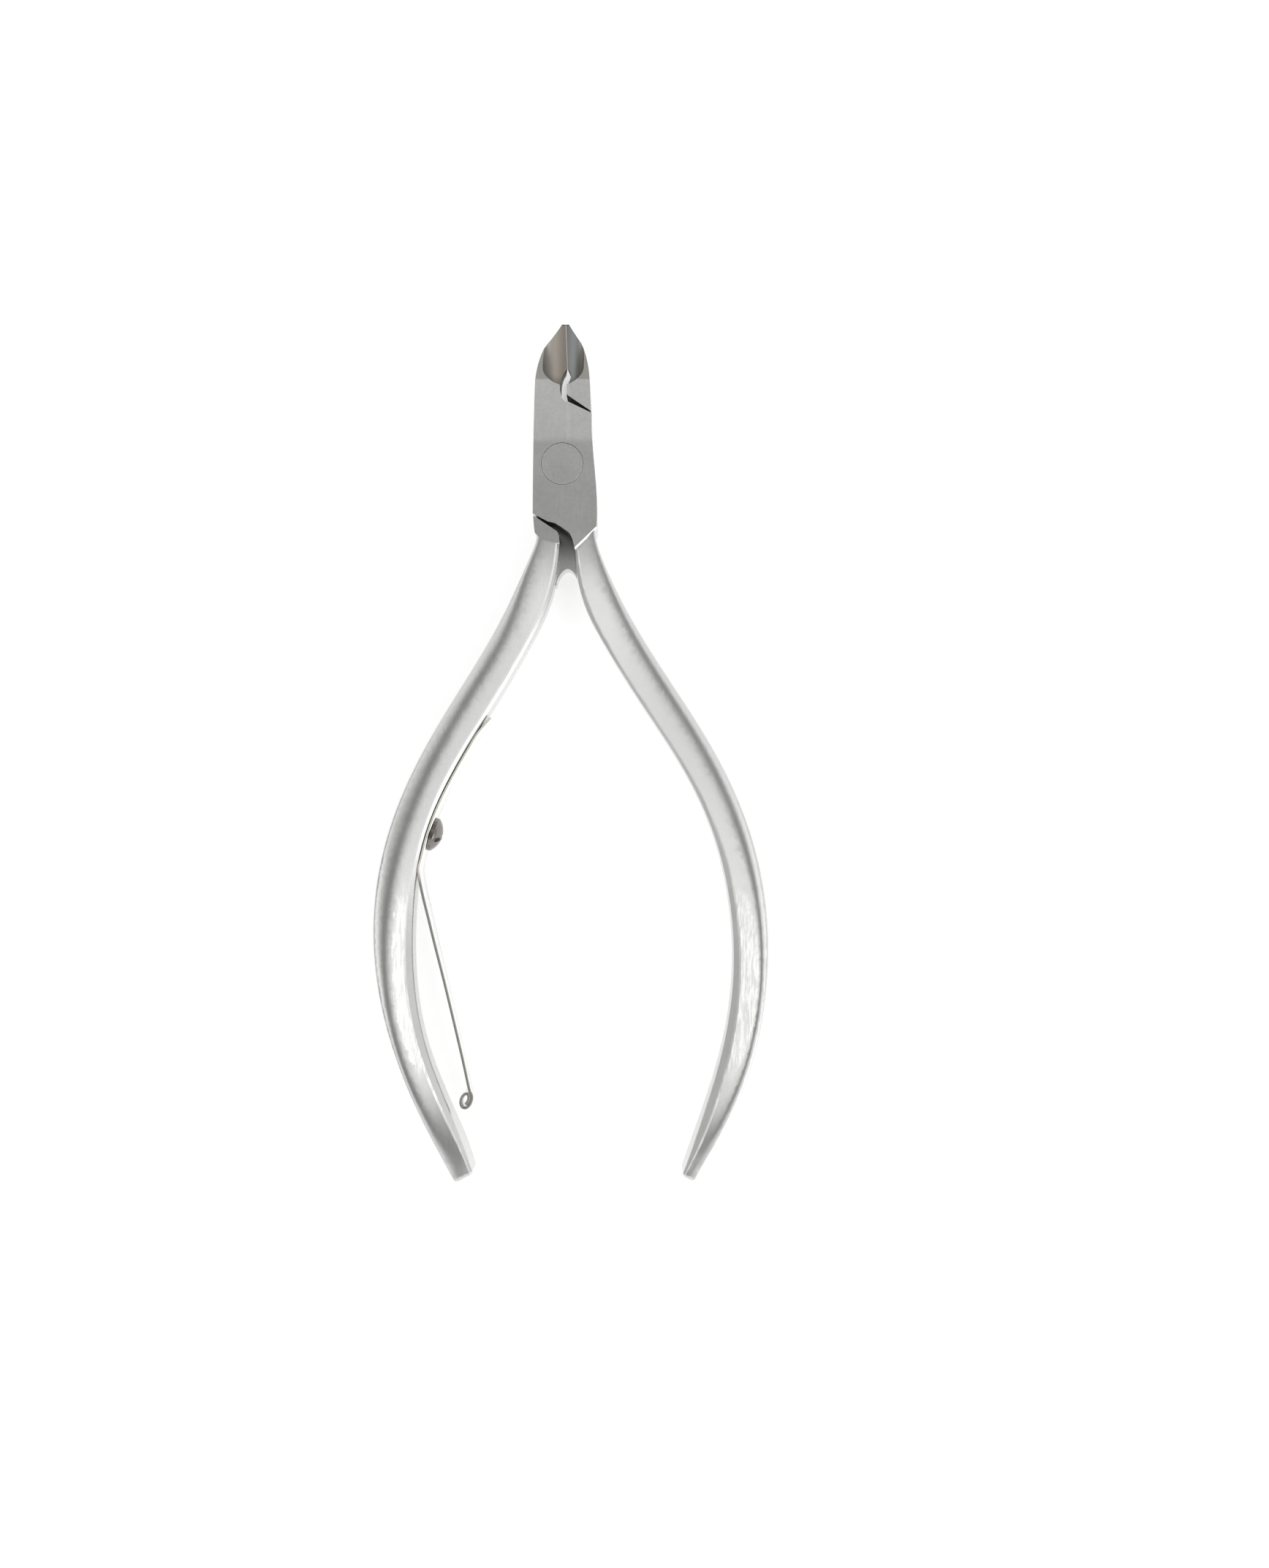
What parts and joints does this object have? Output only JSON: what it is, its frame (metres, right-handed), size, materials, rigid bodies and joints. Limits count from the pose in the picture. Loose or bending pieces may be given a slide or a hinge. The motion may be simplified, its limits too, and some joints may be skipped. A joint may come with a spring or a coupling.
{
  "type": "cuticle nipper",
  "caption": "Lap-joint cuticle nipper: curved steel levers on a flush rivet, pointed hollow-ground jaws, and a screwed leaf spring with a rolled end.",
  "frame": {"origin": "on the pivot axis, on the flat underside of the head, which the tool rests on", "axes": "+Y from the pivot to the cutting tip, +Z along the pivot axis away from the underside, handles along -Y, the levers spread along X"},
  "size_m": [0.0477, 0.1047, 0.0062],
  "materials": {
    "lever_steel": "satin, ground flat on the head, brushed on the handles",
    "rivet_steel": "ground flush with the head",
    "spring_steel": "tempered, satin",
    "screw_steel": "turned, polished"
  },
  "bodies": {
    "left_half": {"left_lever": "lever_steel", "pivot_rivet": "rivet_steel", "leaf_spring": "spring_steel", "spring_screw": "screw_steel"},
    "right_half": {"right_lever": "lever_steel"},
    "spring_free_arm": {"spring_arm": "spring_steel"}
  },
  "joints": [
    {"name": "jaw_pivot", "type": "hinge", "parent": "left_half", "child": "right_half", "pos_m": [0, 0, 0.0031], "axis": [0, 0, 1], "range_deg": [0, 30]},
    {"name": "spring_flex", "type": "hinge", "parent": "left_half", "child": "spring_free_arm", "pos_m": [-0.01742, -0.04926, 0.0031], "axis": [0, 0, 1], "range_deg": [-1.3, 0], "stiffness_Nm_per_rad": 0.5}
  ]
}
